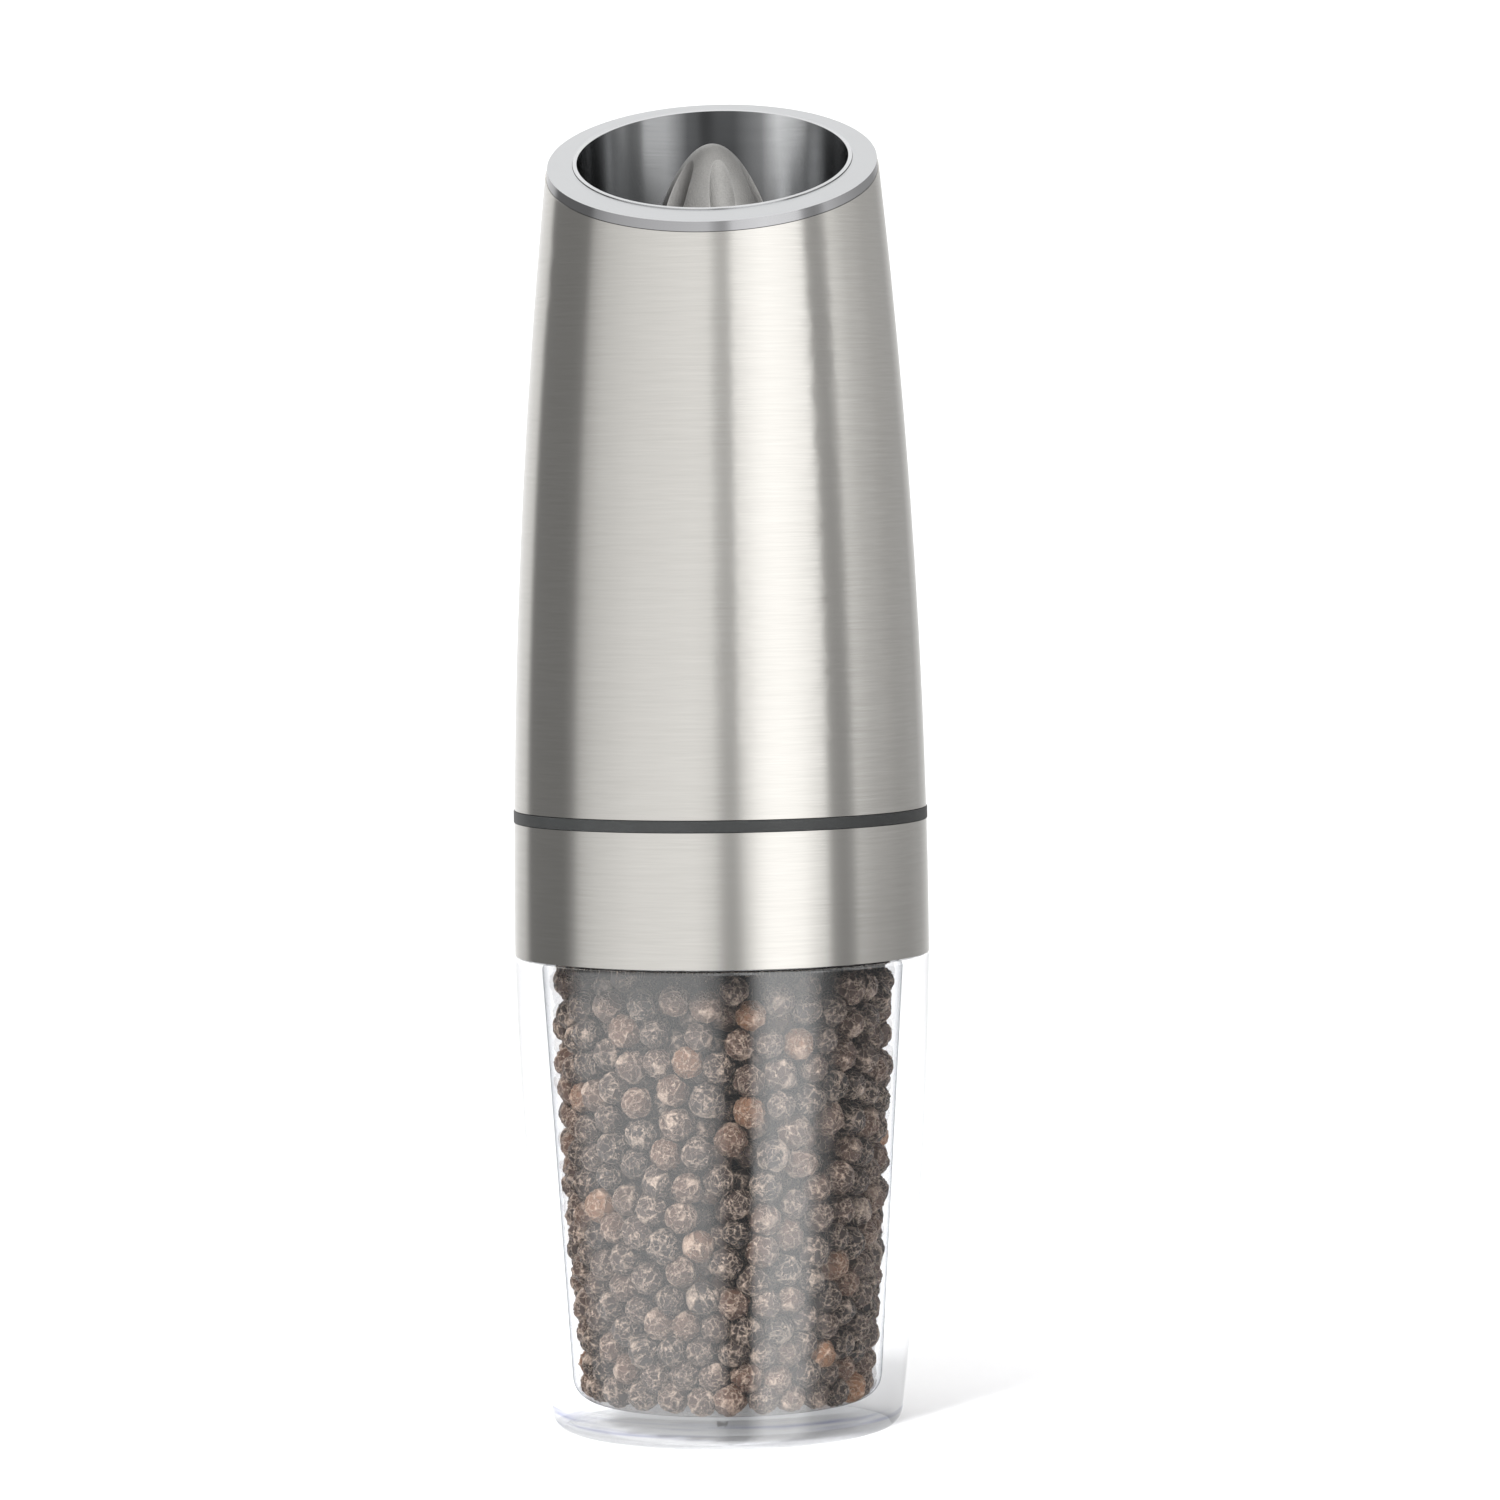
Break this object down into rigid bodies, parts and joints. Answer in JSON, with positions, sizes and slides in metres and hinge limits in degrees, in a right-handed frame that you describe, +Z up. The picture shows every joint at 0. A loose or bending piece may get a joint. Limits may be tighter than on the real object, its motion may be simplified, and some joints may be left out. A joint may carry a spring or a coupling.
{
  "type": "pepper mill",
  "caption": "Battery pepper mill: clear jar of peppercorns below a brushed steel body with a slanted mouth; it grinds upside down through a ceramic burr set by a fluted knob.",
  "frame": {"origin": "centre of the jar's foot, on the surface the mill stands on", "axes": "+Z up along the mill's axis, towards the mouth; the low side of the slanted mouth faces -Y; +X is to the right seen from -Y"},
  "size_m": [0.063, 0.063, 0.2019],
  "materials": {
    "clear_acrylic": "clear, polished, thick-walled",
    "peppercorn": "wrinkled dried berries, black to brown",
    "silicone": "soft, translucent",
    "black_plastic": "moulded, fine grain",
    "ring_black": "satin",
    "brushed_steel": "brushed round the body, satin",
    "rim_steel": "fine satin",
    "polished_steel": "polished",
    "satin_alloy": "bead-blasted, satin",
    "burr_ceramic": "fine-grained, unglazed",
    "spring_steel": "drawn wire",
    "turned_steel": "turned and ground",
    "nickel_strip": "nickel-plated",
    "cell_sleeve": "printed sleeve, plain here",
    "board_green": "solder mask",
    "chip_black": "moulded",
    "lead_red": "insulated wire",
    "zinc_steel": "zinc-plated, satin",
    "ferrite": "sintered",
    "bronze": "sintered bronze",
    "copper": "enamelled wire",
    "laminated_steel": "stacked sheets",
    "brass": "turned",
    "gear_white": "acetal",
    "gear_black": "acetal"
  },
  "bodies": {
    "jar": {"pepper_jar": "clear_acrylic", "peppercorns": "peppercorn"},
    "jar_seal": {"jar_gasket": "silicone"},
    "chassis": {"chassis": "black_plastic", "battery_frame": "black_plastic", "steel_band": "brushed_steel", "end_plate": "black_plastic", "battery_1": "cell_sleeve", "battery_2": "cell_sleeve", "battery_3": "cell_sleeve", "battery_4": "cell_sleeve", "battery_5": "cell_sleeve", "battery_6": "cell_sleeve", "contact_springs": "spring_steel", "lower_contacts": "nickel_strip", "upper_contacts": "nickel_strip", "switch_board": "board_green", "board_components": "chip_black", "tilt_switch_can": "nickel_strip", "tilt_switch_pins": "nickel_strip", "battery_leads": "lead_red", "motor_can": "zinc_steel", "motor_end_cap": "gear_black", "motor_magnets": "ferrite", "motor_bushes": "bronze", "brush_arms": "nickel_strip", "gearbox_housing": "gear_black", "gearbox_cover": "gear_black", "gearbox_screws": "zinc_steel", "burr_holder": "black_plastic", "head_screws": "zinc_steel", "drive_bushes": "bronze", "outer_burr": "burr_ceramic", "burr_retainer": "black_plastic"},
    "tilt_ball": {"tilt_ball": "turned_steel"},
    "drive": {"drive_shaft": "turned_steel", "output_carrier": "gear_white", "stage_two_pins": "turned_steel", "burr_spring": "spring_steel"},
    "motor_rotor": {"motor_shaft": "turned_steel", "armature_core": "laminated_steel", "armature_windings": "copper", "commutator": "copper", "motor_pinion": "brass"},
    "stage_one_carrier": {"stage_one_carrier": "gear_white", "stage_one_pins": "turned_steel"},
    "stage_one_planet_1": {"stage_one_planet_1": "gear_white"},
    "stage_one_planet_2": {"stage_one_planet_2": "gear_white"},
    "stage_one_planet_3": {"stage_one_planet_3": "gear_white"},
    "stage_two_planet_1": {"stage_two_planet_1": "gear_white"},
    "stage_two_planet_2": {"stage_two_planet_2": "gear_white"},
    "stage_two_planet_3": {"stage_two_planet_3": "gear_white"},
    "inner_burr": {"inner_burr": "burr_ceramic"},
    "knob": {"grind_knob": "satin_alloy", "knob_insert": "brass"},
    "seam": {"parting_ring": "ring_black"},
    "housing": {"steel_shell": "brushed_steel", "housing_liner": "black_plastic", "mouth_rim": "rim_steel", "throat_liner": "polished_steel"}
  },
  "joints": [
    {"name": "jar_twist", "type": "hinge", "parent": "jar", "child": "jar_seal", "pos_m": [0, 0, 0], "axis": [0, 0, 1], "range_deg": [-30, 0]},
    {"name": "jar_pull", "type": "slide", "parent": "jar_seal", "child": "chassis", "axis": [0, 0, 1], "range_m": [0, 0.025]},
    {"name": "tilt_ball_roll", "type": "slide", "parent": "chassis", "child": "tilt_ball", "axis": [0, 0, 1], "range_m": [0, 0.0036]},
    {"name": "burr_spin", "type": "hinge", "parent": "chassis", "child": "drive", "pos_m": [0, 0, 0], "axis": [0, 0, 1], "continuous": true},
    {"name": "motor_spin", "type": "hinge", "parent": "chassis", "child": "motor_rotor", "pos_m": [0, 0, 0], "axis": [0, 0, 1], "continuous": true},
    {"name": "stage_one_spin", "type": "hinge", "parent": "chassis", "child": "stage_one_carrier", "pos_m": [0, 0, 0], "axis": [0, 0, 1], "continuous": true},
    {"name": "planet_one_spin_1", "type": "hinge", "parent": "stage_one_carrier", "child": "stage_one_planet_1", "pos_m": [0.006, 0, 0], "axis": [0, 0, 1], "continuous": true},
    {"name": "planet_one_spin_2", "type": "hinge", "parent": "stage_one_carrier", "child": "stage_one_planet_2", "pos_m": [-0.003, 0.0052, 0], "axis": [0, 0, 1], "continuous": true},
    {"name": "planet_one_spin_3", "type": "hinge", "parent": "stage_one_carrier", "child": "stage_one_planet_3", "pos_m": [-0.003, -0.0052, 0], "axis": [0, 0, 1], "continuous": true},
    {"name": "planet_two_spin_1", "type": "hinge", "parent": "drive", "child": "stage_two_planet_1", "pos_m": [0.006, 0, 0], "axis": [0, 0, 1], "continuous": true},
    {"name": "planet_two_spin_2", "type": "hinge", "parent": "drive", "child": "stage_two_planet_2", "pos_m": [-0.003, 0.0052, 0], "axis": [0, 0, 1], "continuous": true},
    {"name": "planet_two_spin_3", "type": "hinge", "parent": "drive", "child": "stage_two_planet_3", "pos_m": [-0.003, -0.0052, 0], "axis": [0, 0, 1], "continuous": true},
    {"name": "burr_gap", "type": "slide", "parent": "drive", "child": "inner_burr", "axis": [0, 0, 1], "range_m": [-0.00035, 0.00105], "deforming": ["burr_spring"]},
    {"name": "coarseness_turn", "type": "hinge", "parent": "inner_burr", "child": "knob", "pos_m": [0, 0, 0], "axis": [0, 0, 1], "range_deg": [-180, 540]},
    {"name": "housing_twist", "type": "hinge", "parent": "chassis", "child": "seam", "pos_m": [0, 0, 0], "axis": [0, 0, 1], "range_deg": [-25, 0]},
    {"name": "housing_lift", "type": "slide", "parent": "seam", "child": "housing", "axis": [0, 0, 1], "range_m": [0, 0.11]}
  ],
  "couplings": [
    {"joint": "motor_spin", "follows": "burr_spin", "ratio": 25},
    {"joint": "stage_one_spin", "follows": "burr_spin", "ratio": 5},
    {"joint": "planet_one_spin_1", "follows": "burr_spin", "ratio": -13.333},
    {"joint": "planet_one_spin_2", "follows": "burr_spin", "ratio": -13.333},
    {"joint": "planet_one_spin_3", "follows": "burr_spin", "ratio": -13.333},
    {"joint": "planet_two_spin_1", "follows": "burr_spin", "ratio": -2.6667},
    {"joint": "planet_two_spin_2", "follows": "burr_spin", "ratio": -2.6667},
    {"joint": "planet_two_spin_3", "follows": "burr_spin", "ratio": -2.6667},
    {"joint": "coarseness_turn", "follows": "burr_gap", "rad_per_m": 8976}
  ]
}
